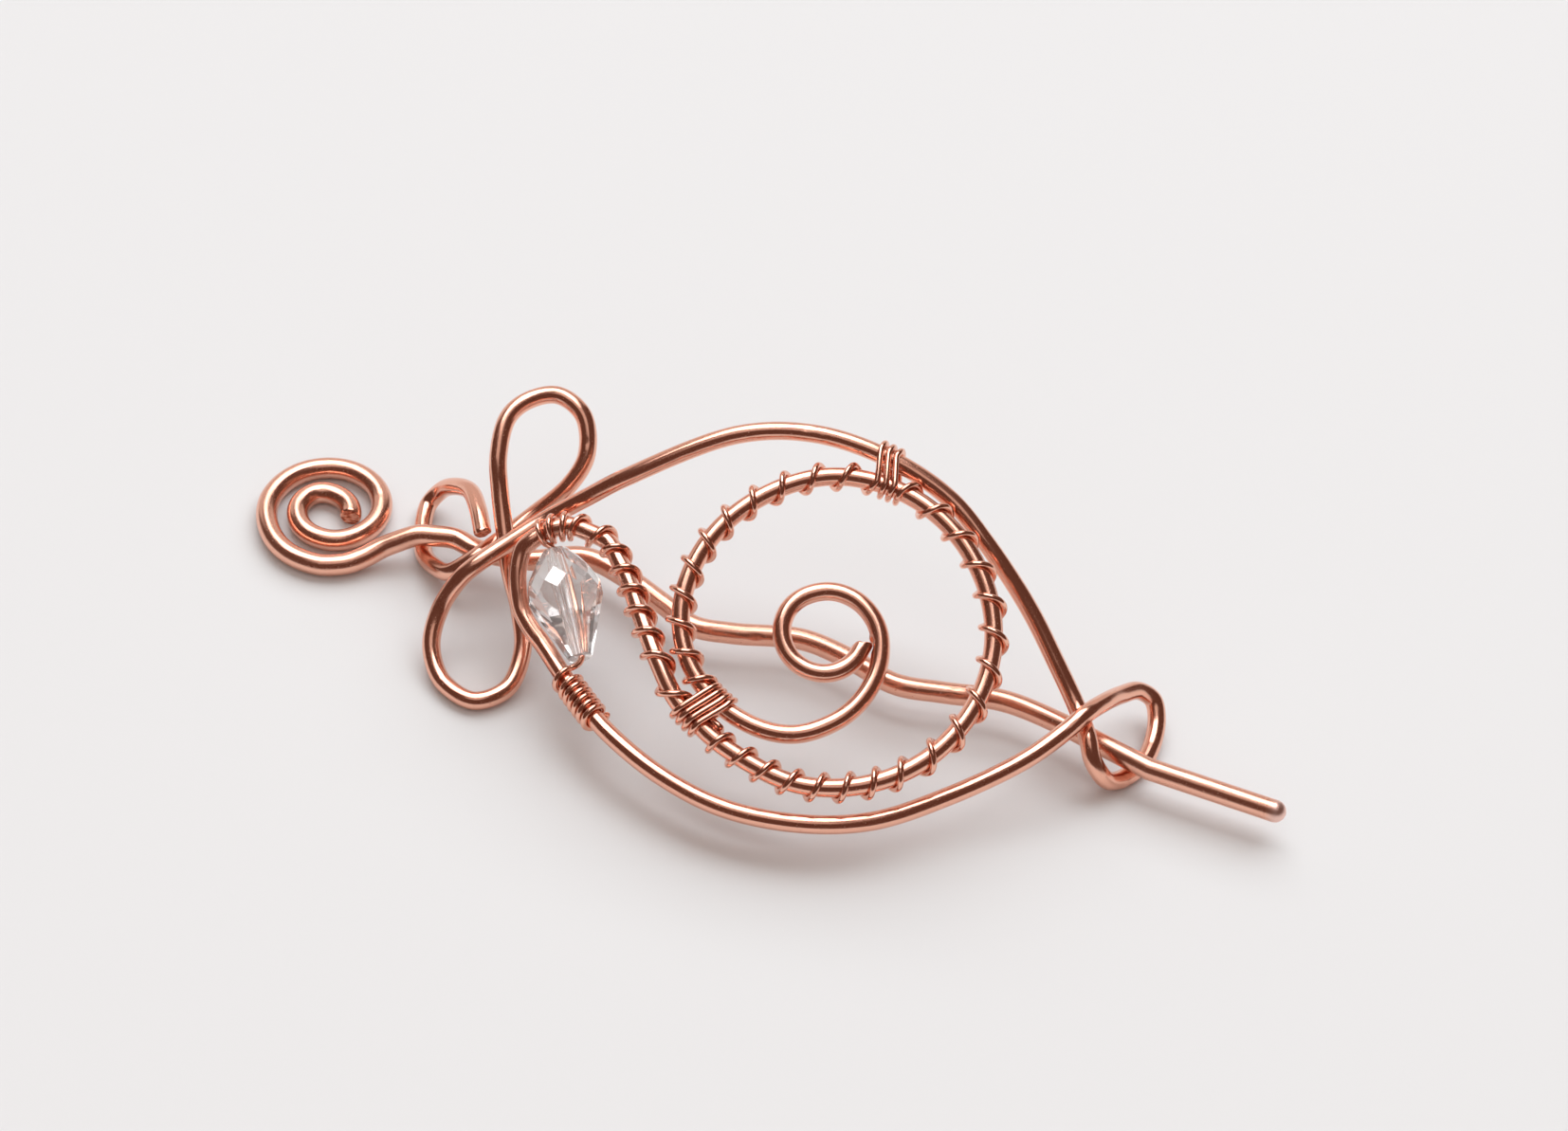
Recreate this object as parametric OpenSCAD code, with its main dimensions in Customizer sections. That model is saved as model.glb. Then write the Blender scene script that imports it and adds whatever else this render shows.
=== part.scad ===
/* [Frame wire] */
// Diameter of the heavy wire that is bent into the frame
frame_d = 1.9; // [1.6:0.05:2.0]
// Radius of the large ring in the middle, as a share of the one shown
ring_scale = 1; // [0.97:0.01:1.01]

/* [Pin] */
// Diameter of the pin's wire
pin_d = 2.3; // [2.0:0.05:2.4]
// Length of the straight round end of the pin, without its tip
tip_len = 13.25; // [6:0.25:16]

/* [Wrap wire] */
// Diameter of the thin wire that is wound round the frame
wrap_d = 0.65; // [0.4:0.05:0.7]
// Air between the thin wire and what it is wound round
wrap_gap = 0.06; // [0.04:0.01:0.1]

/* [Bead] */
// Length of the drop-shaped glass bead
bead_len = 12; // [11:0.5:12.5]
// Width of the bead across its widest facets
bead_w = 7.8; // [6:0.2:8]
// Diameter of the hole along the bead
bead_hole_d = 1.1; // [0.9:0.05:1.4]
// Facets round the bead
bead_facets = 10; // [8:2:12]

/* [Hidden] */

// Everything stands on the plane z = 0. The pin's shank lies along +X.
frame_z = frame_d / 2;
pin_z = pin_d / 2;
shank_z = 3.25;

// How fine the shapes are built: sides of a wire, points round a winding, steps along a wire in mm,
// and degrees between the points of the swirl, the ring and the pin's head
wire_sides = 12;
wrap_sides = 5;
wrap_steps = 10;
frame_step = 2.2;
polar_step = 18;
pin_step = 1.8;
round_sides = 48;
// How far a solid runs into the one that it is joined to or cut from
overlap = 1;

// The ring lies in a plane that leans back and rolls down to the right.
ring_centre = [10.1, 0.5, 13.4];
ring_lean = 22;
ring_roll = 6;
ring_x = [cos(ring_roll), 0, -sin(ring_roll)];
ring_y = [sin(ring_lean) * sin(ring_roll), cos(ring_lean), sin(ring_lean) * cos(ring_roll)];
function in_ring(angle, radius) =
    ring_centre + ring_scale * radius * (cos(angle) * ring_x + sin(angle) * ring_y);

// Inner swirl from its cut end outwards: [angle, radius] in the ring's plane
swirl_rows = [
    [-24, 3.2], [-45, 3.7], [-90, 4.85], [-135, 5.5], [-180, 5.4], [-225, 4.5], [-270, 3.85],
    [-315, 3.85], [-360, 4.75], [-385, 5.95], [-405, 7.4], [-430, 9.8], [-450, 11.9], [-475, 13.6]];
// Ring, once round and past its own start: [angle, radius]
ring_rows = [
    [-490, 14.5], [-515, 15.6], [-545, 16.1], [-580, 16.4], [-605, 16.75], [-630, 16.45],
    [-670, 15.8], [-705, 15.7], [-730, 15.8], [-755, 16.1], [-778, 16.35], [-800, 16.55],
    [-820, 16.4], [-838, 16.85]];

// The other bends, each a few points [x, y, z] on the wire's centre line
ess_rows = [
    [-2, -11.75, 9.75], [-5.5, -8.75, 11.25], [-9, -4.75, 12], [-12.25, -0.75, 12.25], [-14, 1, 12.5],
    [-16, 2.75, 12.75], [-18.5, 3, 13], [-20.25, 3, 13], [-21.75, 2.25, 12.75]];
bay_rows = [
    [-23, 1.5, 12], [-23.75, 0.5, 11.5], [-24.25, -0.25, 10.75], [-24, -2, 9.5], [-23.3, -3.5, 8.3],
    [-22.3, -4.85, 7.15], [-20.5, -6.25, 6.4], [-18.75, -7.25, 5.9], [-14.25, -10.75, 5.5]];
lower_bow_rows = [
    [-8.25, -14.75, 5.25], [-1, -17.5, 4.75], [6, -18.5, 4.5], [13.5, -17.25, 4.5], [20, -14, 4.5],
    [26, -8.2, 5], [31.6, -1.7, 6.25], [34.2, 2.5, 7.25], [35.5, 5, 8]];
right_loop_rows = [
    [36.5, 7.8, 7.25], [37.6, 11.3, 5.5], [39, 14, 4], [40.5, 14.5, 2.75], [41.5, 13, 1.75],
    [42, 10, frame_z], [41.75, 7, frame_z], [40.5, 4.5, frame_z], [39.4, 3.1, 1.75],
    [38.5, 2.6, 3.1], [37.5, 2.8, 4.5], [36.5, 4.1, 5.6], [35.25, 6, 5.75], [33.75, 7.75, 6.25]];
upper_bow_rows = [
    [30.75, 10, 8.5], [26.25, 13, 12], [20.25, 15.75, 16.25], [15.25, 17.75, 18.75], [8.5, 18.5, 20.75],
    [0.5, 17.75, 21.75], [-7, 15, 21], [-16.75, 8.5, 16.5], [-20, 6.75, 14], [-23.5, 4.75, 11.25],
    [-26.25, 1.25, 9.75], [-28.75, -2.5, 8.5]];
lower_leaf_rows = [
    [-29.75, -3.75, 7.4], [-31, -6, 4.5], [-30.5, -9.25, 2.25], [-27.75, -12.25, frame_z],
    [-23.75, -13.25, frame_z], [-21.25, -10.5, 1.25], [-21.5, -6.25, 2.75], [-23.5, -2.75, 4.5],
    [-26, 0.25, 6.6]];
upper_leaf_rows = [
    [-27.75, 3, 7.7], [-30, 6.5, 10.25], [-31.5, 9.25, 12.75], [-32.2, 13.25, 14.75], [-31, 15.75, 15.5],
    [-28.5, 17.75, 15.5], [-25.25, 17, 14.5], [-23.5, 14, 12], [-24.25, 11.25, 9.75], [-27, 8, 7]];
small_leaf_rows = [
    [-29.25, 4, 5.75], [-31, 1.25, 4.75], [-33, 0.25, 3.1], [-35.5, 1.5, 1.75], [-37.5, 3.25, frame_z],
    [-38.75, 5.5, frame_z], [-39.75, 7.75, frame_z], [-40.25, 10, 1.25], [-39.25, 11, 2.75],
    [-37.25, 10.2, 5], [-34.5, 8.5, 7], [-32.25, 5.75, 7.75], [-30.25, 2.75, 7.75]];

// Pin head from its cut end outwards: [angle, radius] about head_centre
head_centre = [-49.8, 4.3];
head_rows = [
    [8, 2.8], [45, 2.65], [90, 2.7], [135, 3.05], [180, 3], [225, 3.05], [270, 3.55], [315, 4.5],
    [360, 5.45], [405, 6.25], [450, 6.7], [495, 6.65], [540, 6.35], [585, 6.35], [630, 7.25], [655, 7.9]];
// Pin shank, where it bends: [x, y, z]
shank_rows = [
    [-44.25, -1.75, 1.3], [-42.75, -0.25, 1.6], [-41.5, 1.25, 2.1], [-40.25, 2.25, 2.6], [-38.25, 3.6, shank_z],
    [-36.5, 4.25, shank_z], [-34.5, 4.75, shank_z], [-31.5, 4.25, shank_z], [-26, 5.25, shank_z],
    [-21, 8, shank_z], [-16, 7.25, shank_z], [-10.5, 5.25, shank_z], [-6.5, 3.75, shank_z],
    [-2.5, 4.5, shank_z], [4.5, 6.75, shank_z], [10, 6.25, shank_z], [15.5, 5, shank_z],
    [20.5, 6, shank_z], [26.5, 7.5, shank_z], [33, 7, shank_z], [38, 6, shank_z], [43, 5, shank_z]];
tip_start = [43, 5, shank_z];
// How much thinner the bent part is drawn, so that it meets the straight end inside its round
pin_inset = 0.01;

// Windings of the thin wire, each [from, to, turns, partner_from, partner_to]:
// places in mm along the frame wire from its swirl end, and the second wire that is bound in, if any.
coil_rows = [[205.4, 200.5, -5.68, 0, 0], [200.5, 198.9, -1.2, 0, 0]];
winding_rows = [
    [181, 177.2, 3.15, 0, 0], [177.2, 174.5, 1, 0, 0], [174.5, 157.8, 6, 0, 0],
    [157.8, 152.2, 1.25, 0, 0], [152.2, 147.6, 0, 0, 0], [147.6, 146.8, 0.75, 0, 0],
    [146.8, 127.6, 7, 0, 0], [127.6, 109.2, 5, 0, 0], [109.2, 90.4, 5, 0, 0],
    [90.4, 87.6, 3, 327.9, 330.5], [87.6, 70.8, 5, 0, 0], [70.8, 51.2, 6.3, 0, 0],
    [51.2, 47.9, 4, 152.2, 149.1]];
// The side of the work that looks up and forward, and how far round from it, in turns, the
// coil and the windings start
front = [0.2, -0.65, 0.73];
coil_start = 0.68;
winding_start = -0.15;
// Length along which the direction of the frame wire is taken, and extra room round a bound pair
along_span = 1.6;
pair_ease = 1.06;

// The bead hangs on the thin wire between these two ends of its hole.
bead_top = [-21, 0.5, 11.25];
bead_foot = [-14, -8.5, 7.25];
// Length of the thin wire that stays straight beyond the bead's top and foot
thread_ends = [0.2, 0.3];
// Cut of the bead: [share of its length, share of its radius, share of a facet turned]
bead_rows = [
    [0, 0.36, 0], [0.1, 0.6, 0.5], [0.24, 0.86, 0], [0.35, 0.985, 0.5], [0.45, 1, 0], [1, 0.33, 0]];
// How far the bead is turned on its thread
bead_spin = 198;

function unit(v) = v / norm(v);

// A smooth curve through a list of points, in steps of about the given length
function blend(a, b, ta, tb, t) = ((tb - t) * a + (t - ta) * b) / (tb - ta);
function knot(a, b) = sqrt(norm(b - a));
function span_point(p0, p1, p2, p3, share) =
    let (
        t1 = knot(p0, p1), t2 = t1 + knot(p1, p2), t3 = t2 + knot(p2, p3),
        t = t1 + (t2 - t1) * share,
        a1 = blend(p0, p1, 0, t1, t), a2 = blend(p1, p2, t1, t2, t), a3 = blend(p2, p3, t2, t3, t),
        b1 = blend(a1, a2, 0, t2, t), b2 = blend(a2, a3, t1, t3, t)
    ) blend(b1, b2, t1, t2, t);
function smooth(rows, step) =
    let (
        last = len(rows) - 1,
        ends = concat([2 * rows[0] - rows[1]], rows, [2 * rows[last] - rows[last - 1]])
    ) [
        for (i = [0 : last - 1])
            let (n = max(1, ceil(norm(rows[i + 1] - rows[i]) / step)))
                for (j = [0 : n - 1])
                    span_point(ends[i], ends[i + 1], ends[i + 2], ends[i + 3], j / n),
        rows[last]
    ];
function not_under(points, lowest) = [for (p = points) [p[0], p[1], max(p[2], lowest)]];

// A round wire swept along a list of points, its section carried along without twisting.
// The section starts on no_way, a direction that no wire has.
function tangents(points) = [
    for (i = [0 : len(points) - 1])
        unit(points[min(i + 1, len(points) - 1)] - points[max(i - 1, 0)])];
function square_to(v, tangent) = unit(v - (v * tangent) * tangent);
function carried(directions, first) = [
    for (i = 0, side = square_to(first, directions[0]);
        i < len(directions);
        i = i + 1, side = i < len(directions) ? square_to(side, directions[i]) : side)
        side];
no_way = [0.31, 0.17, 0.93];
module wire(points, radius, sides) {
    directions = tangents(points);
    sideways = carried(directions, no_way);
    rings = len(points);
    skin = [
        for (i = [0 : rings - 1])
            for (k = [0 : sides - 1])
                let (angle = 360 * k / sides, across = cross(directions[i], sideways[i]))
                    points[i] + radius * (cos(angle) * sideways[i] + sin(angle) * across)];
    walls = [
        for (i = [0 : rings - 2])
            for (k = [0 : sides - 1])
                let (a = i * sides + k, b = i * sides + (k + 1) % sides)
                    for (face = [[a, a + sides, b], [b, a + sides, b + sides]])
                        face];
    caps = [[for (k = [0 : sides - 1]) k], [for (k = [sides - 1 : -1 : 0]) (rings - 1) * sides + k]];
    polyhedron(points = skin, faces = concat(caps, walls), convexity = 12);
}

// The frame wire's centre line, and places along it in mm from the swirl end
frame_bends = concat(
    [for (row = smooth(concat(swirl_rows, ring_rows), polar_step)) in_ring(row[0], row[1])],
    ess_rows, bay_rows, lower_bow_rows, right_loop_rows, upper_bow_rows,
    lower_leaf_rows, upper_leaf_rows, small_leaf_rows);
frame_line = not_under(smooth(frame_bends, frame_step), frame_z);
frame_places = [
    for (i = 0, gone = 0;
        i < len(frame_line);
        i = i + 1, gone = i < len(frame_line) ? gone + norm(frame_line[i] - frame_line[i - 1]) : gone)
        gone];
frame_axes = [
    for (axis = [0 : 2])
        [for (i = [0 : len(frame_line) - 1]) [frame_places[i], frame_line[i][axis]]]];
function frame_at(place) = [for (axis = [0 : 2]) lookup(place, frame_axes[axis])];
function frame_along(place) =
    unit(frame_at(place + along_span / 2) - frame_at(place - along_span / 2));

// One winding: points round the frame wire, or round it and its partner
turn_radius = (frame_d / 2 + wrap_d / 2 + wrap_gap) / cos(180 / wrap_steps);
function turn_point(place, partner, angle) =
    let (
        along = frame_along(place),
        out = square_to(front, along),
        way = cos(angle) * out + sin(angle) * cross(along, out),
        here = frame_at(place),
        other = partner > 0 ? frame_at(partner) : here,
        core = way * (other - here) > 0 ? other : here
    ) core + turn_radius * (partner > 0 ? pair_ease : 1) * way;
function winding(row, turns_before) =
    let (points = max(3, ceil(abs(row[2]) * wrap_steps))) [
        for (i = [0 : points - 1])
            let (share = i / points)
                turn_point(
                    row[0] + (row[1] - row[0]) * share,
                    row[3] + (row[4] - row[3]) * share,
                    360 * (turns_before + row[2] * share))];
function turns_up_to(rows, last) = last < 0 ? 0 : rows[last][2] + turns_up_to(rows, last - 1);
function windings(rows, start) = [
    for (i = [0 : len(rows) - 1])
        for (p = winding(rows[i], start + turns_up_to(rows, i - 1)))
            p];
bead_way = unit(bead_foot - bead_top);
wrap_line = concat(
    windings(coil_rows, coil_start),
    [bead_foot + thread_ends[1] * bead_way, bead_top - thread_ends[0] * bead_way],
    windings(winding_rows, winding_start));

module frame_wire() {
    color("peru")
        wire(frame_line, frame_d / 2, wire_sides);
}

module wrap_wire() {
    color("sandybrown")
        wire(wrap_line, wrap_d / 2, wrap_sides);
}

module drop() {
    skin = [
        for (row = bead_rows)
            for (k = [0 : bead_facets - 1])
                let (angle = 360 * (k + row[2]) / bead_facets, radius = row[1] * bead_w / 2)
                    [radius * cos(angle), radius * sin(angle), row[0] * bead_len]];
    rows = len(bead_rows);
    facets = [
        for (i = [0 : rows - 2])
            for (k = [0 : bead_facets - 1])
                let (
                    next = (k + 1) % bead_facets, low = i * bead_facets, high = low + bead_facets,
                    turned = bead_rows[i][2] < bead_rows[i + 1][2]
                ) for (face = turned
                    ? [[low + k, high + k, low + next], [low + next, high + k, high + next]]
                    : [[low + k, high + k, high + next], [low + k, high + next, low + next]])
                    face];
    table = [for (k = [0 : bead_facets - 1]) k];
    foot = [for (k = [bead_facets - 1 : -1 : 0]) (rows - 1) * bead_facets + k];
    polyhedron(points = skin, faces = concat([table, foot], facets), convexity = 2);
}

module bead() {
    middle = (bead_top + bead_foot) / 2;
    lean = acos(bead_way[2]);
    turn = atan2(bead_way[1], bead_way[0]);
    color("aliceblue")
        translate(middle)
            rotate([0, lean, turn])
                rotate(bead_spin)
                    translate([0, 0, -bead_len / 2])
                        difference() {
                            drop();
                            translate([0, 0, -overlap])
                                cylinder(d = bead_hole_d, h = bead_len + 2 * overlap, $fn = round_sides);
                        }
}

pin_bends = concat(
    [for (row = smooth(head_rows, polar_step))
        [head_centre[0] + row[1] * cos(row[0]), head_centre[1] + row[1] * sin(row[0]), pin_z]],
    shank_rows);
pin_line = concat(not_under(smooth(pin_bends, pin_step), pin_z), [tip_start + [overlap, 0, 0]]);

module pin() {
    color("chocolate") {
        wire(pin_line, pin_d / 2 - pin_inset, wire_sides);
        translate(tip_start)
            rotate([0, 90, 0])
                cylinder(d = pin_d, h = tip_len, $fn = round_sides);
        translate(tip_start + [tip_len, 0, 0])
            sphere(d = pin_d, $fn = round_sides);
    }
}

frame_wire();
wrap_wire();
bead();
pin();
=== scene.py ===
import math

import bpy
from mathutils import Matrix, Vector


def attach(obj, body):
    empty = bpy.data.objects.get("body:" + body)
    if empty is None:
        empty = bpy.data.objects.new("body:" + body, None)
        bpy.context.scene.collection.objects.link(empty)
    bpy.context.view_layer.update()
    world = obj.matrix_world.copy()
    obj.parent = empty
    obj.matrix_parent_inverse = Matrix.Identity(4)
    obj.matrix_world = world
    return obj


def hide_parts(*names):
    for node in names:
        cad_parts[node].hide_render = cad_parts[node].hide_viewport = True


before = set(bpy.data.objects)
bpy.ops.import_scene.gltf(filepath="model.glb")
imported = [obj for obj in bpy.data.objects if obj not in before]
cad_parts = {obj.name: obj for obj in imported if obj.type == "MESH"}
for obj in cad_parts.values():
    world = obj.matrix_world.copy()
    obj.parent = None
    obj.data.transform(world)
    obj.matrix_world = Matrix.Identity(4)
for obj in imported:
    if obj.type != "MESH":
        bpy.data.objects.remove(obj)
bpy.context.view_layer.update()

# Camera: a short telephoto that looks down at the slide from the front, a little from the
# right, from about a third of a metre. It is rolled by a few degrees.
camera_place = Vector((0.0770, -0.2146, 0.2586))
camera_way = Vector((-0.2218, 0.6532, -0.7239)).normalized()
camera_up = Vector((-0.3046, 0.6589, 0.6878)).normalized()
camera_data = bpy.data.cameras.new("camera")
camera_data.sensor_width = 36.0
camera_data.lens = 76.2
camera_data.clip_start = 0.01
camera = bpy.data.objects.new("camera", camera_data)
camera_right = camera_way.cross(camera_up).normalized()
turned = Matrix((camera_right, camera_right.cross(camera_way), -camera_way)).transposed()
camera.matrix_world = Matrix.Translation(camera_place) @ turned.to_4x4()
bpy.context.scene.collection.objects.link(camera)
bpy.context.scene.camera = camera
bpy.context.scene.view_settings.view_transform = "Standard"


# Floor and studio light: a large sheet of pale matte board in a dim room. The metal mirrors a
# broad soft window, high behind the slide on the left, and the pale wall and ceiling by it. A
# large even light from above and a key from behind give the board its tone and its shadows.
class Nodes:
    """Adds nodes to a tree. make() takes a type, its settings and its sockets' values or links."""

    def __init__(self, tree):
        self.tree = tree

    def make(self, kind, settings=None, **sockets):
        node = self.tree.nodes.new(kind)
        for name, value in (settings or {}).items():
            if name == "stops":
                ramp = node.color_ramp
                while len(ramp.elements) < len(value):
                    ramp.elements.new(1.0)
                for element, (place, colour) in zip(ramp.elements, value):
                    element.position = place
                    element.color = colour
            else:
                setattr(node, name, value)
        for name, value in sockets.items():
            if name[0] == "i" and name[1:].isdigit():
                socket = node.inputs[int(name[1:])]
            else:
                socket = node.inputs[name.replace("_", " ")]
            if isinstance(value, Sum):
                value = value.socket
            if isinstance(value, bpy.types.NodeSocket):
                self.tree.links.new(value, socket)
            else:
                socket.default_value = value
        return node


class Sum:
    """A node's value that takes part in Python expressions. Each operator adds a Math node."""

    def __init__(self, nodes, socket):
        self.nodes = nodes
        self.socket = socket

    def joined(self, kind, first, second):
        node = self.nodes.make("ShaderNodeMath", {"operation": kind}, i0=first, i1=second)
        return Sum(self.nodes, node.outputs[0])

    def __add__(self, other):
        return self.joined("ADD", self, other)

    def __radd__(self, other):
        return self.joined("ADD", other, self)

    def __sub__(self, other):
        return self.joined("SUBTRACT", self, other)

    def __rsub__(self, other):
        return self.joined("SUBTRACT", other, self)

    def __mul__(self, other):
        return self.joined("MULTIPLY", self, other)

    def __rmul__(self, other):
        return self.joined("MULTIPLY", other, self)


def new_material(name):
    """An empty node material with its output, and the shader that feeds it."""
    material = bpy.data.materials.new(name)
    material.use_nodes = True
    material.node_tree.nodes.clear()
    nodes = Nodes(material.node_tree)
    shader = nodes.make("ShaderNodeBsdfPrincipled")
    nodes.make("ShaderNodeOutputMaterial", Surface=shader.outputs[0])
    return material, nodes, shader


floor_half = 2.0  # metres
floor_mesh = bpy.data.meshes.new("floor")
corners = [(-floor_half, -floor_half, 0), (floor_half, -floor_half, 0),
           (floor_half, floor_half, 0), (-floor_half, floor_half, 0)]
floor_mesh.from_pydata(corners, [], [(0, 1, 2, 3)])
floor = bpy.data.objects.new("floor", floor_mesh)
bpy.context.scene.collection.objects.link(floor)
board, nodes, shader = new_material("pale_board")
shader.inputs["Base Color"].default_value = (0.710, 0.737, 0.757, 1)
shader.inputs["Roughness"].default_value = 0.85
shader.inputs["Specular IOR Level"].default_value = 0.2
floor_mesh.materials.append(board)

world = bpy.data.worlds.new("studio")
world.use_nodes = True
world.node_tree.nodes["Background"].inputs["Color"].default_value = (0.115, 0.06, 0.045, 1)
world.node_tree.nodes["Background"].inputs["Strength"].default_value = 1.0
bpy.context.scene.world = world


def soft_light(name, direction, across, distance, size, brightness, colour):
    """A rectangular light of even brightness that looks at the slide's middle. Sizes in metres."""
    lamp = bpy.data.lights.new(name, "AREA")
    lamp.shape = "RECTANGLE"
    lamp.size, lamp.size_y = size
    lamp.energy = brightness * math.pi * size[0] * size[1]
    lamp.color = colour
    holder = bpy.data.objects.new(name, lamp)
    away = Vector(direction).normalized()
    up = away.cross(Vector(across)).normalized()
    facing = Matrix((up.cross(away), up, away)).transposed()
    holder.matrix_world = Matrix.Translation(away * distance) @ facing.to_4x4()
    bpy.context.scene.collection.objects.link(holder)
    return holder


sideways = (1, 0, 0)
along_wall = (0.85, 0.53, 0)
window = soft_light("window", (-0.28, 0.36, 1), sideways, 1.1, (0.84, 0.84), 4.0, (1.0, 0.99, 1.0))
soft_light("wall", (-0.5, 0.8, 0.34), along_wall, 1.3, (2.6, 0.9), 0.56, (1.0, 0.98, 0.95))
soft_light("ceiling", (0.02, -0.3, 1), sideways, 1.2, (0.75, 0.5), 0.6, (1.0, 0.95, 0.92))
key = soft_light("key", (-0.05, 0.8, 1), sideways, 4.0, (5.6, 3.8), 2.95, (0.95, 0.985, 1.0))
sky = soft_light("sky", (0.1, -0.3, 1), sideways, 1.4, (4.6, 4.6), 0.5, (1.0, 0.9, 0.83))
# the window throws no light on the board, and the slide doesn't mirror the key and the sky
window.visible_diffuse = False
key.visible_glossy = False
sky.visible_glossy = False


# Frame: one length of round copper wire, polished, bent cold over round-nosed pliers. It starts
# at the cut end of the inner swirl, runs round the ring, down the S, round the bead and along
# the lower bow, and comes back by the right loop and the upper bow to the three leaves.
MM = 0.001
frame_d = 1.9
frame_rest = frame_d / 2
ring_centre = Vector((10.1, 0.5, 13.4))
ring_lean = math.radians(22)
ring_roll = math.radians(6)
ring_x = Vector((math.cos(ring_roll), 0, -math.sin(ring_roll)))
ring_y = Vector((math.sin(ring_lean) * math.sin(ring_roll), math.cos(ring_lean),
                 math.sin(ring_lean) * math.cos(ring_roll)))
# angle and radius in the ring's plane, in degrees and mm
swirl_rows = [
    (-24, 3.2), (-45, 3.7), (-90, 4.85), (-135, 5.5), (-180, 5.4), (-225, 4.5), (-270, 3.85),
    (-315, 3.85), (-360, 4.75), (-385, 5.95), (-405, 7.4), (-430, 9.8), (-450, 11.9), (-475, 13.6)]
ring_rows = [
    (-490, 14.5), (-515, 15.6), (-545, 16.1), (-580, 16.4), (-605, 16.75), (-630, 16.45),
    (-670, 15.8), (-705, 15.7), (-730, 15.8), (-755, 16.1), (-778, 16.35), (-800, 16.55),
    (-820, 16.4), (-838, 16.85)]
# x, y, z on the wire's centre line in mm, from the S below the ring to the cut end
ess_rows = [
    (-2, -11.75, 9.75), (-5.5, -8.75, 11.25), (-9, -4.75, 12), (-12.25, -0.75, 12.25),
    (-14, 1, 12.5), (-16, 2.75, 12.75), (-18.5, 3, 13), (-20.25, 3, 13), (-21.75, 2.25, 12.75)]
bay_rows = [
    (-23, 1.5, 12), (-23.75, 0.5, 11.5), (-24.25, -0.25, 10.75), (-24, -2, 9.5), (-23.3, -3.5, 8.3),
    (-22.3, -4.85, 7.15), (-20.5, -6.25, 6.4), (-18.75, -7.25, 5.9), (-14.25, -10.75, 5.5)]
lower_bow_rows = [
    (-8.25, -14.75, 5.25), (-1, -17.5, 4.75), (6, -18.5, 4.5), (13.5, -17.25, 4.5), (20, -14, 4.5),
    (26, -8.2, 5), (31.6, -1.7, 6.25), (34.2, 2.5, 7.25), (35.5, 5, 8)]
right_loop_rows = [
    (36.5, 7.8, 7.25), (37.6, 11.3, 5.5), (39, 14, 4), (40.5, 14.5, 2.75), (41.5, 13, 1.75),
    (42, 10, frame_rest), (41.75, 7, frame_rest), (40.5, 4.5, frame_rest), (39.4, 3.1, 1.75),
    (38.5, 2.6, 3.1), (37.5, 2.8, 4.5), (36.5, 4.1, 5.6), (35.25, 6, 5.75), (33.75, 7.75, 6.25)]
upper_bow_rows = [
    (30.75, 10, 8.5), (26.25, 13, 12), (20.25, 15.75, 16.25), (15.25, 17.75, 18.75),
    (8.5, 18.5, 20.75), (0.5, 17.75, 21.75), (-7, 15, 21), (-16.75, 8.5, 16.5), (-20, 6.75, 14),
    (-23.5, 4.75, 11.25), (-26.25, 1.25, 9.75), (-28.75, -2.5, 8.5)]
lower_leaf_rows = [
    (-29.75, -3.75, 7.4), (-31, -6, 4.5), (-30.5, -9.25, 2.25), (-27.75, -12.25, frame_rest),
    (-23.75, -13.25, frame_rest), (-21.25, -10.5, 1.25), (-21.5, -6.25, 2.75), (-23.5, -2.75, 4.5),
    (-26, 0.25, 6.6)]
upper_leaf_rows = [
    (-27.75, 3, 7.7), (-30, 6.5, 10.25), (-31.5, 9.25, 12.75), (-32.2, 13.25, 14.75),
    (-31, 15.75, 15.5), (-28.5, 17.75, 15.5), (-25.25, 17, 14.5), (-23.5, 14, 12),
    (-24.25, 11.25, 9.75), (-27, 8, 7)]
small_leaf_rows = [
    (-29.25, 4, 5.75), (-31, 1.25, 4.75), (-33, 0.25, 3.1), (-35.5, 1.5, 1.75),
    (-37.5, 3.25, frame_rest), (-38.75, 5.5, frame_rest), (-39.75, 7.75, frame_rest),
    (-40.25, 10, 1.25), (-39.25, 11, 2.75), (-37.25, 10.2, 5), (-34.5, 8.5, 7), (-32.25, 5.75, 7.75),
    (-30.25, 2.75, 7.75)]


def in_ring(row):
    """The point of a row of angle and radius in the ring's plane."""
    turn = math.radians(row[0])
    return ring_centre + row[1] * (math.cos(turn) * ring_x + math.sin(turn) * ring_y)


def span_point(p, share):
    """A point on the smooth curve between the middle two of four points."""
    knots = [0.0]
    for a, b in zip(p[:-1], p[1:]):
        knots.append(knots[-1] + math.sqrt((b - a).length))
    t = knots[1] + (knots[2] - knots[1]) * share

    def blend(a, b, first, last):
        ta, tb = knots[first], knots[last]
        return ((tb - t) * a + (t - ta) * b) / (tb - ta)

    before = blend(p[0], p[1], 0, 1)
    within = blend(p[1], p[2], 1, 2)
    after = blend(p[2], p[3], 2, 3)
    return blend(blend(before, within, 0, 2), blend(within, after, 1, 3), 1, 2)


def smooth(rows, step):
    """The curve through the rows in steps of about the given length."""
    rows = [Vector(row) for row in rows]
    ends = [2 * rows[0] - rows[1]] + rows + [2 * rows[-1] - rows[-2]]
    points = []
    for i in range(len(rows) - 1):
        count = max(1, math.ceil((rows[i + 1] - rows[i]).length / step))
        points += [span_point(ends[i:i + 4], j / count) for j in range(count)]
    return points + [rows[-1]]


def not_under(points, lowest):
    """The points, lifted where they lie under the lowest height at which the wire rests."""
    return [Vector((p.x, p.y, max(p.z, lowest))) for p in points]


def lengths(points):
    """How far along the line each of its points lies."""
    gone = [0.0]
    for a, b in zip(points[:-1], points[1:]):
        gone.append(gone[-1] + (b - a).length)
    return gone


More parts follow.
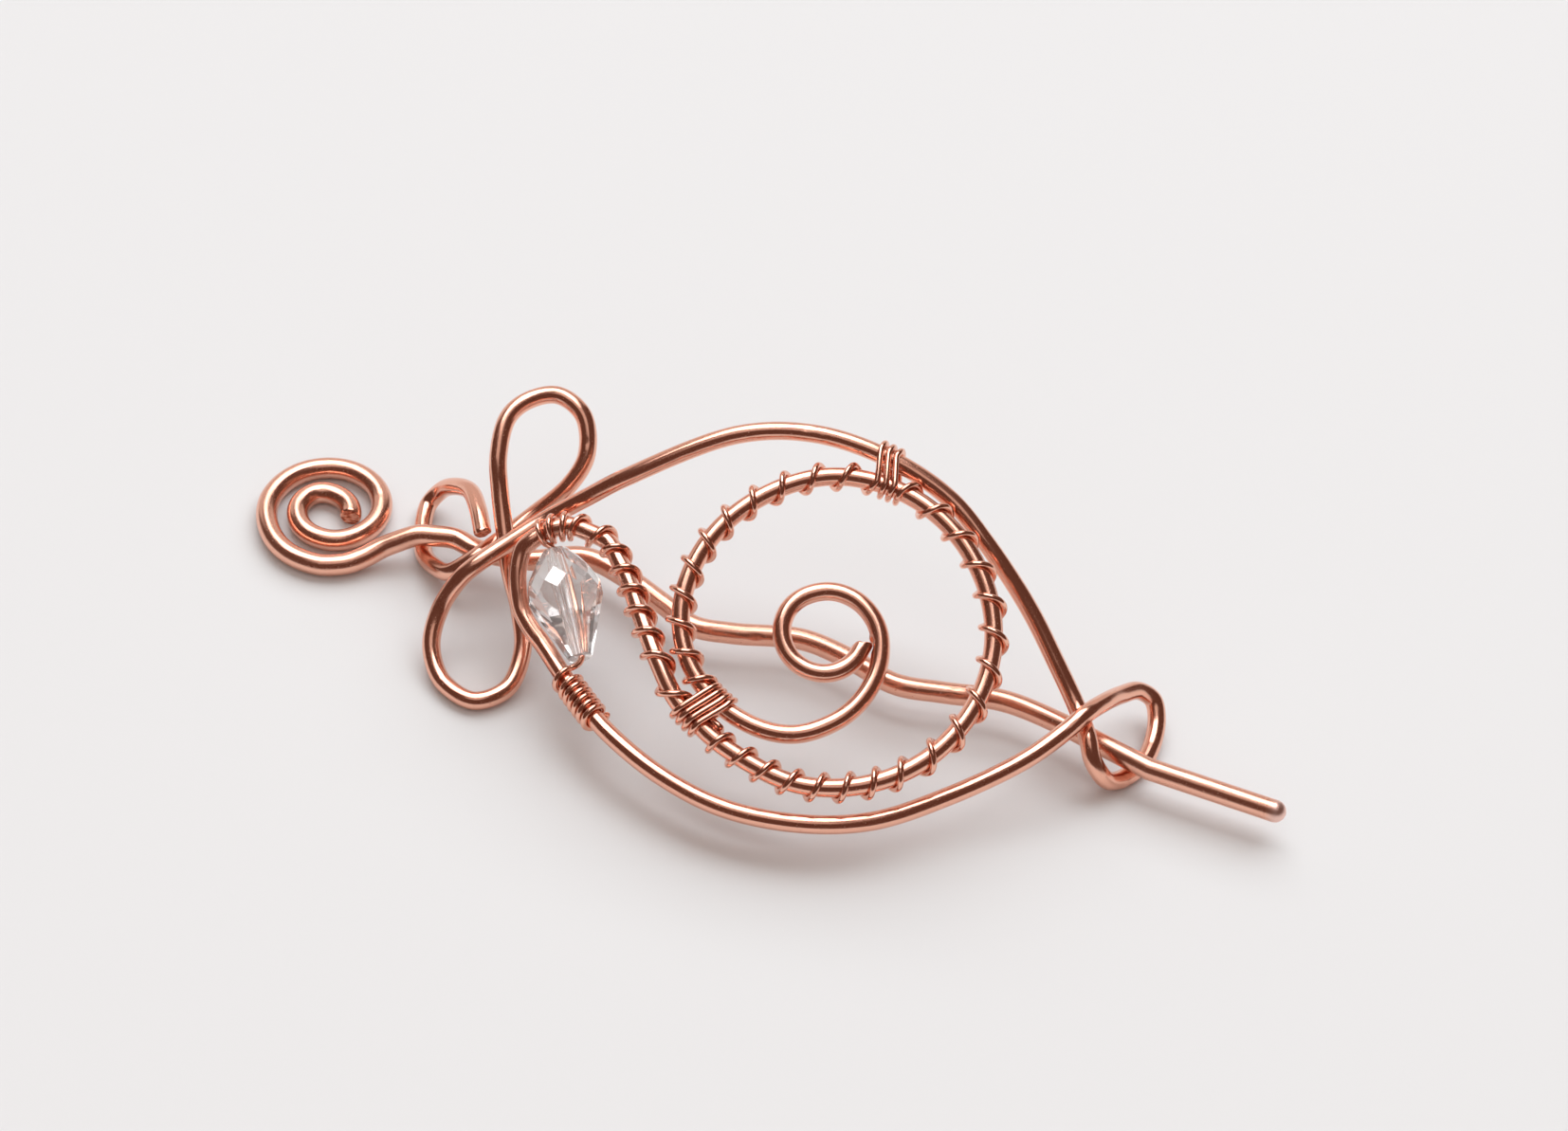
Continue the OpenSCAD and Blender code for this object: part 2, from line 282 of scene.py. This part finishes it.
def frame_path(polar_step, step):
    """The frame wire's centre line in steps of degrees round the ring and of mm along the wire."""
    ring = [in_ring(row) for row in smooth(swirl_rows + ring_rows, polar_step)]
    rest = [Vector(row) for row in ess_rows + bay_rows + lower_bow_rows + right_loop_rows
            + upper_bow_rows + lower_leaf_rows + upper_leaf_rows + small_leaf_rows]
    return not_under(smooth(ring + rest, step), frame_rest)


frame_line = frame_path(4, 0.35)
frame_run = lengths(frame_line)


def wire_tree():
    """Sweeps a round wire along a chain of points and makes its skin a little uneven."""
    tree = bpy.data.node_groups.new("swept_wire", "GeometryNodeTree")
    for name, kind in (("Path", "NodeSocketGeometry"), ("Sides", "NodeSocketInt"),
                       ("Wave Height", "NodeSocketFloat"), ("Wave Size", "NodeSocketFloat"),
                       ("Seed", "NodeSocketFloat"), ("Metal", "NodeSocketMaterial")):
        tree.interface.new_socket(name, in_out="INPUT", socket_type=kind)
    tree.interface.new_socket("Wire", in_out="OUTPUT", socket_type="NodeSocketGeometry")
    nodes = Nodes(tree)
    given = tree.nodes.new("NodeGroupInput").outputs
    curve = nodes.make("GeometryNodeMeshToCurve", Mesh=given["Path"])
    thickness = nodes.make("GeometryNodeInputNamedAttribute", {"data_type": "FLOAT"},
                           Name="radius_m")
    ring = nodes.make("GeometryNodeCurvePrimitiveCircle", Resolution=given["Sides"], i4=1.0)
    where = nodes.make("GeometryNodeInputPosition")
    kept_rim = {"data_type": "FLOAT_VECTOR", "domain": "POINT"}
    rim = nodes.make("GeometryNodeStoreNamedAttribute", kept_rim,
                     Geometry=ring.outputs[0], Name="rim", Value=where.outputs[0])
    swept = nodes.make("GeometryNodeCurveToMesh", Curve=curve.outputs[0],
                       Profile_Curve=rim.outputs[0], Scale=thickness.outputs[0], Fill_Caps=True)
    at = nodes.make("GeometryNodeInputPosition")
    uneven = nodes.make("ShaderNodeTexNoise", {"noise_dimensions": "4D"}, Vector=at.outputs[0],
                        W=given["Seed"], Scale=given["Wave Size"], Detail=1.5)
    height = (Sum(nodes, uneven.outputs[0]) - 0.5) * given["Wave Height"]
    normal = nodes.make("GeometryNodeInputNormal")
    push = nodes.make("ShaderNodeVectorMath", {"operation": "SCALE"}, i0=normal.outputs[0],
                      Scale=height)
    moved = nodes.make("GeometryNodeSetPosition", Geometry=swept.outputs[0], Offset=push.outputs[0])
    real = nodes.make("GeometryNodeRealizeInstances", Geometry=moved.outputs[0])
    dressed = nodes.make("GeometryNodeSetMaterial", Geometry=real.outputs[0],
                         Material=given["Metal"])
    result = tree.nodes.new("NodeGroupOutput")
    tree.links.new(dressed.outputs[0], result.inputs[0])
    return tree


swept_wire = wire_tree()


def sweep(name, points, radii, inputs):
    """A wire along the points, in mm, made with the tree and turned into a plain mesh."""
    mesh = bpy.data.meshes.new(name + "_path")
    mesh.from_pydata([p * MM for p in points], [(i, i + 1) for i in range(len(points) - 1)], [])
    for attribute, values in (("radius_m", [r * MM for r in radii]), ("run", lengths(points))):
        mesh.attributes.new(attribute, "FLOAT", "POINT").data.foreach_set("value", values)
    carrier = bpy.data.objects.new(name + "_path", mesh)
    bpy.context.scene.collection.objects.link(carrier)
    modifier = carrier.modifiers.new("sweep", "NODES")
    modifier.node_group = swept_wire
    for item in swept_wire.interface.items_tree:
        if item.in_out == "INPUT" and item.name in inputs:
            modifier[item.identifier] = inputs[item.name]
    graph = bpy.context.evaluated_depsgraph_get()
    made = bpy.data.meshes.new_from_object(carrier.evaluated_get(graph), depsgraph=graph)
    made.name = name
    carrier.modifiers.remove(modifier)
    bpy.data.objects.remove(carrier)
    made.polygons.foreach_set("use_smooth", [len(p.vertices) == 4 for p in made.polygons])
    piece = bpy.data.objects.new(name, made)
    bpy.context.scene.collection.objects.link(piece)
    return piece


def with_ends(points, radius, first_rows, last_rows):
    """The points and radii of a wire with shaped ends.

    A row holds a distance from the end and the share of the radius that the wire has there.
    """
    run = lengths(points)
    whole = run[-1]

    def share(rows, distance):
        for (d0, s0), (d1, s1) in zip(rows[:-1], rows[1:]):
            if distance <= d1:
                return s0 + (s1 - s0) * max(0, distance - d0) / (d1 - d0)
        return 1.0

    at_first = [row[0] for row in first_rows[1:]]
    at_last = [whole - row[0] for row in last_rows[1:]]
    places = sorted(set(run + at_first + at_last))
    shaped, radii = [], []
    i = 0
    for place in places:
        while i < len(run) - 2 and run[i + 1] < place:
            i += 1
        part = (place - run[i]) / (run[i + 1] - run[i])
        shaped.append(points[i].lerp(points[i + 1], part))
        radii.append(radius * min(share(first_rows, place), share(last_rows, whole - place)))
    return shaped, radii


# how far back from a cut its slant reaches and how high its burrs stand, in mm, and their spread
slant_reach = 1.2
burr_size = 0.14
burr_way = Vector((4, -5, 3))


def slant(piece, end, before, lean):
    """Slants a cut end: the further its skin lies to the leaning side, the further it moves out.

    The rim of the cut gets a small notch and a burr.
    """
    out = (end - before).normalized()
    for vertex in piece.data.vertices:
        offset = vertex.co / MM - end
        back = -offset.dot(out)
        if offset.length < slant_reach and back < slant_reach:
            share = 1 - max(0, back) / slant_reach
            ragged = burr_size * share * math.sin(offset.dot(burr_way))
            vertex.co += MM * share * (offset.dot(lean) + ragged) * out


def dent(piece, line, rows):
    """Presses dents into a wire. A row holds a point on its skin, the dent's size and its depth."""
    for x, y, z, size, depth in rows:
        place = Vector((x, y, z))
        core = min(line, key=lambda point: (point - place).length)
        inward = (core - place).normalized()
        for vertex in piece.data.vertices:
            away = (vertex.co / MM - place).length / size
            if away < 3:
                vertex.co += MM * depth * math.exp(-away * away) * inward


speck_colour = (0.45, 0.16, 0.09, 1)
filed_colour = (0.92, 0.62, 0.54, 1)


def copper(name, colour, rough, line_depth, filed=None):
    """Polished drawn copper: clouds of tone, fine lines along the wire and specks.

    A wire with a filed end turns pale and dull over the stretch given and stays so to its end.
    """
    material, nodes, shader = new_material(name)
    rim = nodes.make("ShaderNodeAttribute", {"attribute_name": "rim"}).outputs["Vector"]
    run = nodes.make("ShaderNodeAttribute", {"attribute_name": "run"}).outputs["Fac"]
    along = nodes.make("ShaderNodeCombineXYZ", Z=run).outputs[0]

    def scaled(vector, factor):
        node = nodes.make("ShaderNodeVectorMath", {"operation": "SCALE"}, i0=vector, Scale=factor)
        return node.outputs[0]

    def stretched(by_rim, by_run, detail):
        a = scaled(rim, by_rim)
        b = scaled(along, by_run)
        place = nodes.make("ShaderNodeVectorMath", {"operation": "ADD"}, i0=a, i1=b).outputs[0]
        return nodes.make("ShaderNodeTexNoise", Vector=place, Scale=1.0, Detail=detail).outputs[0]

    def between(value, low, high):
        node = nodes.make("ShaderNodeMapRange", i0=value, i1=low, i2=high, i3=0.0, i4=1.0)
        return Sum(nodes, node.outputs[0])

    def mixed(share, first, second):
        node = nodes.make("ShaderNodeMix", {"data_type": "RGBA"}, i0=share, i6=first, i7=second)
        return node.outputs[2]

    clouds = Sum(nodes, stretched(0.8, 0.22, 3.0))
    lines = Sum(nodes, stretched(9.0, 0.35, 4.0))
    specks = between(stretched(5.0, 3.0, 2.0), 0.68, 0.74)
    tone = mixed(clouds, (*colour[0], 1), (*colour[1], 1))
    tone = mixed(specks * 0.5, tone, speck_colour)
    gloss = rough[0] + clouds * (rough[1] - rough[0]) + lines * 0.05 + specks * 0.15
    height = lines - specks * 0.5
    if filed:
        rubbed = between(run, filed[0], filed[1])
        grain = Sum(nodes, stretched(4.0, 4.0, 3.0))
        tone = mixed(rubbed, tone, filed_colour)
        gloss = gloss + rubbed * 0.14
        height = height + rubbed * grain * 2
    nodes.tree.links.new(tone, shader.inputs["Base Color"])
    shader.inputs["Metallic"].default_value = 1.0
    nodes.tree.links.new(gloss.socket, shader.inputs["Roughness"])
    bump = nodes.make("ShaderNodeBump", Height=height, Distance=line_depth, Strength=0.45)
    nodes.tree.links.new(bump.outputs[0], shader.inputs["Normal"])
    return material


def cut_face(piece, metal):
    """Gives the flat cut ends of a wire their torn, duller face, whose palest streaks are painted
    highlights.
    """
    piece.data.materials.append(metal)
    for polygon in piece.data.polygons:
        if len(polygon.vertices) != 4:
            polygon.material_index = 1


torn_copper, nodes, shader = new_material("torn_copper")
place = nodes.make("ShaderNodeTexCoord").outputs["Object"]
streaks = nodes.make("ShaderNodeMapping", Vector=place, Scale=(1, 4, 3)).outputs[0]
grain = nodes.make("ShaderNodeTexNoise", Vector=streaks, Scale=1100.0, Detail=3.0).outputs[0]
# the torn face's colour: the dark and middle tones are its grain, the palest streaks are painted
# highlights that brighten it
grain_and_highlight_tones = [
    (0.42, (0.52, 0.15, 0.08, 1)), (0.5, (0.86, 0.34, 0.21, 1)), (0.6, (1.0, 0.56, 0.40, 1))]
grain_and_highlight = nodes.make("ShaderNodeValToRGB", {"stops": grain_and_highlight_tones}, i0=grain)
nodes.tree.links.new(grain_and_highlight.outputs[0], shader.inputs["Base Color"])
ridge = nodes.make("ShaderNodeBump", Height=grain, Distance=0.0004, Strength=1.0)
nodes.tree.links.new(ridge.outputs[0], shader.inputs["Normal"])
shader.inputs["Metallic"].default_value = 1.0
shader.inputs["Roughness"].default_value = 0.42

frame_tones = ((0.94, 0.52, 0.39), (0.90, 0.46, 0.33))
frame_copper = copper("frame_copper", frame_tones, (0.13, 0.22), 0.00002)
cut_ends = [(0, 0.88), (0.1, 0.98), (0.25, 1)]
swirl_extra = 0.95
swirl_end = frame_line[0] + swirl_extra * (frame_line[0] - frame_line[1]).normalized()
shaped, radii = with_ends([swirl_end] + frame_line, frame_d / 2, cut_ends, cut_ends)
frame_piece = sweep("frame_heavy_wire", shaped, radii, {
    "Sides": 32, "Wave Height": 0.00002, "Wave Size": 240.0, "Seed": 1.0, "Metal": frame_copper})
slant(frame_piece, swirl_end, frame_line[1], Vector((0.55, -0.35, 0)))
slant(frame_piece, frame_line[-1], frame_line[-3], Vector((0.1, -0.3, 0.3)))
# x, y, z on the skin, size and depth: nicks of the pliers on the bow and on the upper leaf
dent(frame_piece, frame_line, [
    (-0.37, 17.17, 22.63, 0.3, 0.07), (1.29, 17.41, 22.53, 0.35, 0.05),
    (-11.47, 11.03, 19.07, 0.3, 0.06), (-30.07, 7.24, 11.93, 0.3, 0.08),
    (-23.66, 14.36, 13.5, 0.35, 0.06)])
cut_face(frame_piece, torn_copper)
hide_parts("frame_wire")
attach(frame_piece, "frame")


# Pin: a heavier copper wire with a flat spiral for a head, a shank that waves from side to side
# and a straight end, filed round. It slides through the frame and the hair.
pin_d = 2.3
pin_rest = pin_d / 2
shank_z = 3.25
tip_len = 13.25
head_centre = (-49.8, 4.3)
# angle and radius about head_centre, in degrees and mm, from the cut end outwards
head_rows = [
    (8, 2.8), (45, 2.65), (90, 2.7), (135, 3.05), (180, 3), (225, 3.05), (270, 3.55), (315, 4.5),
    (360, 5.45), (405, 6.25), (450, 6.7), (495, 6.65), (540, 6.35), (585, 6.35), (630, 7.25),
    (655, 7.9)]
shank_rows = [
    (-44.25, -1.75, 1.3), (-42.75, -0.25, 1.6), (-41.5, 1.25, 2.1), (-40.25, 2.25, 2.6),
    (-38.25, 3.6, shank_z), (-36.5, 4.25, shank_z), (-34.5, 4.75, shank_z), (-31.5, 4.25, shank_z),
    (-26, 5.25, shank_z), (-21, 8, shank_z), (-16, 7.25, shank_z), (-10.5, 5.25, shank_z),
    (-6.5, 3.75, shank_z), (-2.5, 4.5, shank_z), (4.5, 6.75, shank_z), (10, 6.25, shank_z),
    (15.5, 5, shank_z), (20.5, 6, shank_z), (26.5, 7.5, shank_z), (33, 7, shank_z),
    (38, 6, shank_z), (43, 5, shank_z)]
pin_bends = [
    Vector((head_centre[0] + radius * math.cos(math.radians(angle)),
            head_centre[1] + radius * math.sin(math.radians(angle)), pin_rest))
    for angle, radius in smooth(head_rows, 4)] + [Vector(row) for row in shank_rows]
pin_end = pin_bends[-1] + Vector((tip_len + pin_d / 2, 0, 0))
pin_line = not_under(smooth(pin_bends, 0.4), pin_rest)
straight_parts = 34
pin_line += [pin_line[-1].lerp(pin_end, (i + 1) / straight_parts) for i in range(straight_parts)]
# the half-round tip, which keeps a small flat spot
flat_spot = 0.12
tip_angles = [math.radians(angle) for angle in range(14, 91, 6)]
tip_rows = [(0, flat_spot)]
tip_rows += [(pin_d / 2 * (1 - math.cos(angle)), math.sin(angle)) for angle in tip_angles]
shaped, radii = with_ends(pin_line, pin_d / 2, cut_ends, tip_rows)
pin_length = lengths(shaped)[-1]
pin_tones = ((0.94, 0.53, 0.40), (0.89, 0.46, 0.33))
filed_stretch = (pin_length - 2.0, pin_length - 1.0)
pin_copper = copper("pin_copper", pin_tones, (0.18, 0.28), 0.00002, filed_stretch)
pin_piece = sweep("pin_wavy_wire", shaped, radii, {
    "Sides": 36, "Wave Height": 0.000025, "Wave Size": 220.0, "Seed": 7.0, "Metal": pin_copper})
# x, y, z on the skin, size and depth: bites of the pliers on the shank and on the head
dent(pin_piece, pin_line, [
    (0.14, 4.38, 3.87, 0.4, 0.14), (21.6, 5.25, 3.79, 0.4, 0.12), (21.57, 6.15, 4.39, 0.3, 0.06),
    (-45.34, 8.21, 2.28, 0.4, 0.04)])
cut_face(pin_piece, torn_copper)
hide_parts("pin")
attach(pin_piece, "pin")


# Thin wire: one length of fine copper wire. It starts as a tight coil at the foot of the bead,
# goes up through the bead, binds the top of the bay, winds along the S and round the ring, and
# ends in the binding of the swirl. The coil is wound against the other turns.
wrap_d = 0.65
front = Vector((0.2, -0.65, 0.73))
# from and to in mm along the frame wire, turns, and the places of the second wire that is bound in
coil_rows = [(205.4, 200.5, -5.68, 0, 0), (200.5, 198.9, -1.2, 0, 0)]
winding_rows = [
    (181, 177.2, 3.15, 0, 0), (177.2, 174.5, 1, 0, 0), (174.5, 157.8, 6, 0, 0),
    (157.8, 152.2, 1.25, 0, 0), (152.2, 147.6, 0, 0, 0), (147.6, 146.8, 0.75, 0, 0),
    (146.8, 127.6, 7, 0, 0), (127.6, 109.2, 5, 0, 0), (109.2, 90.4, 5, 0, 0),
    (90.4, 87.6, 3, 327.9, 330.5), (87.6, 70.8, 5, 0, 0), (70.8, 51.2, 6.3, 0, 0),
    (51.2, 47.9, 4, 152.2, 149.1)]
coil_start = 0.68
winding_start = -0.15
bead_top = Vector((-21, 0.5, 11.25))
bead_foot = Vector((-14, -8.5, 7.25))
turn_radius = frame_d / 2 + wrap_d / 2
# steps in a turn, and how far to each side, in mm, the direction of the frame wire is looked up
turn_steps = 28
look = 0.8
# the places are counted along the coarser line that the solids have
solid_polar_step = 18
solid_step = 2.2
stretch = frame_run[-1] / lengths(frame_path(solid_polar_step, solid_step))[-1]


def frame_at(place):
    """The point on the frame's centre line at a place given in mm along it."""
    place = min(max(place * stretch, 0), frame_run[-1] - 1e-6)
    low, high = 0, len(frame_run) - 1
    while high - low > 1:
        middle = (low + high) // 2
        if frame_run[middle] <= place:
            low = middle
        else:
            high = middle
    share = (place - frame_run[low]) / (frame_run[high] - frame_run[low])
    return frame_line[low].lerp(frame_line[high], share)


def square_to(vector, along):
    """The direction of a vector once its share along the given direction is taken out."""
    return (vector - vector.dot(along) * along).normalized()


def windings(rows, turned):
    """Points round the frame wire, or round it and its partner, from the given turn on."""
    points = []
    for start, stop, turns, partner_start, partner_stop in rows:
        count = max(6, math.ceil(abs(turns) * turn_steps))
        for i in range(count):
            share = i / count
            place = start + (stop - start) * share
            along = (frame_at(place + look) - frame_at(place - look)).normalized()
            out = square_to(front, along)
            angle = 2 * math.pi * (turned + turns * share)
            way = math.cos(angle) * out + math.sin(angle) * along.cross(out)
            core = frame_at(place)
            if partner_start:
                other = frame_at(partner_start + (partner_stop - partner_start) * share)
                if way.dot(other - core) > 0:
                    core = other
            points.append(core + turn_radius * way)
        turned += turns
    return points


bead_way = (bead_foot - bead_top).normalized()
# the stretch through the bead, from just outside its foot to just outside its top
thread = [bead_foot + 0.3 * bead_way, bead_top - 0.2 * bead_way]
wrap_line = windings(coil_rows, coil_start) + thread + windings(winding_rows, winding_start)
wrap_line = not_under(smooth(wrap_line, 0.22), wrap_d / 2)
wrap_tones = ((0.95, 0.54, 0.41), (0.90, 0.47, 0.34))
wrap_copper = copper("wrap_copper", wrap_tones, (0.10, 0.18), 0.00001)
thin_ends = [(0, 0.9), (0.1, 1)]
shaped, radii = with_ends(wrap_line, wrap_d / 2, thin_ends, thin_ends)
wrap_piece = sweep("wrap_thin_wire", shaped, radii, {
    "Sides": 14, "Wave Height": 0.00001, "Wave Size": 500.0, "Seed": 3.0, "Metal": wrap_copper})
cut_face(wrap_piece, torn_copper)
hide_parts("wrap_wire")
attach(wrap_piece, "frame")


# Bead: a drop of clear glass with cut and polished facets, drilled lengthways. It hangs on the
# thin wire in the bay of the frame, wide end up.
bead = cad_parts["bead"]
glass, nodes, shader = new_material("bead_glass")
shader.inputs["Base Color"].default_value = (0.98, 0.985, 0.99, 1)
shader.inputs["Roughness"].default_value = 0.02
shader.inputs["Transmission Weight"].default_value = 0.86
shader.inputs["IOR"].default_value = 1.46
shader.inputs["Coat Weight"].default_value = 1.0
shader.inputs["Coat IOR"].default_value = 2.3
shader.inputs["Coat Roughness"].default_value = 0.02
bead.data.materials.clear()
bead.data.materials.append(glass)
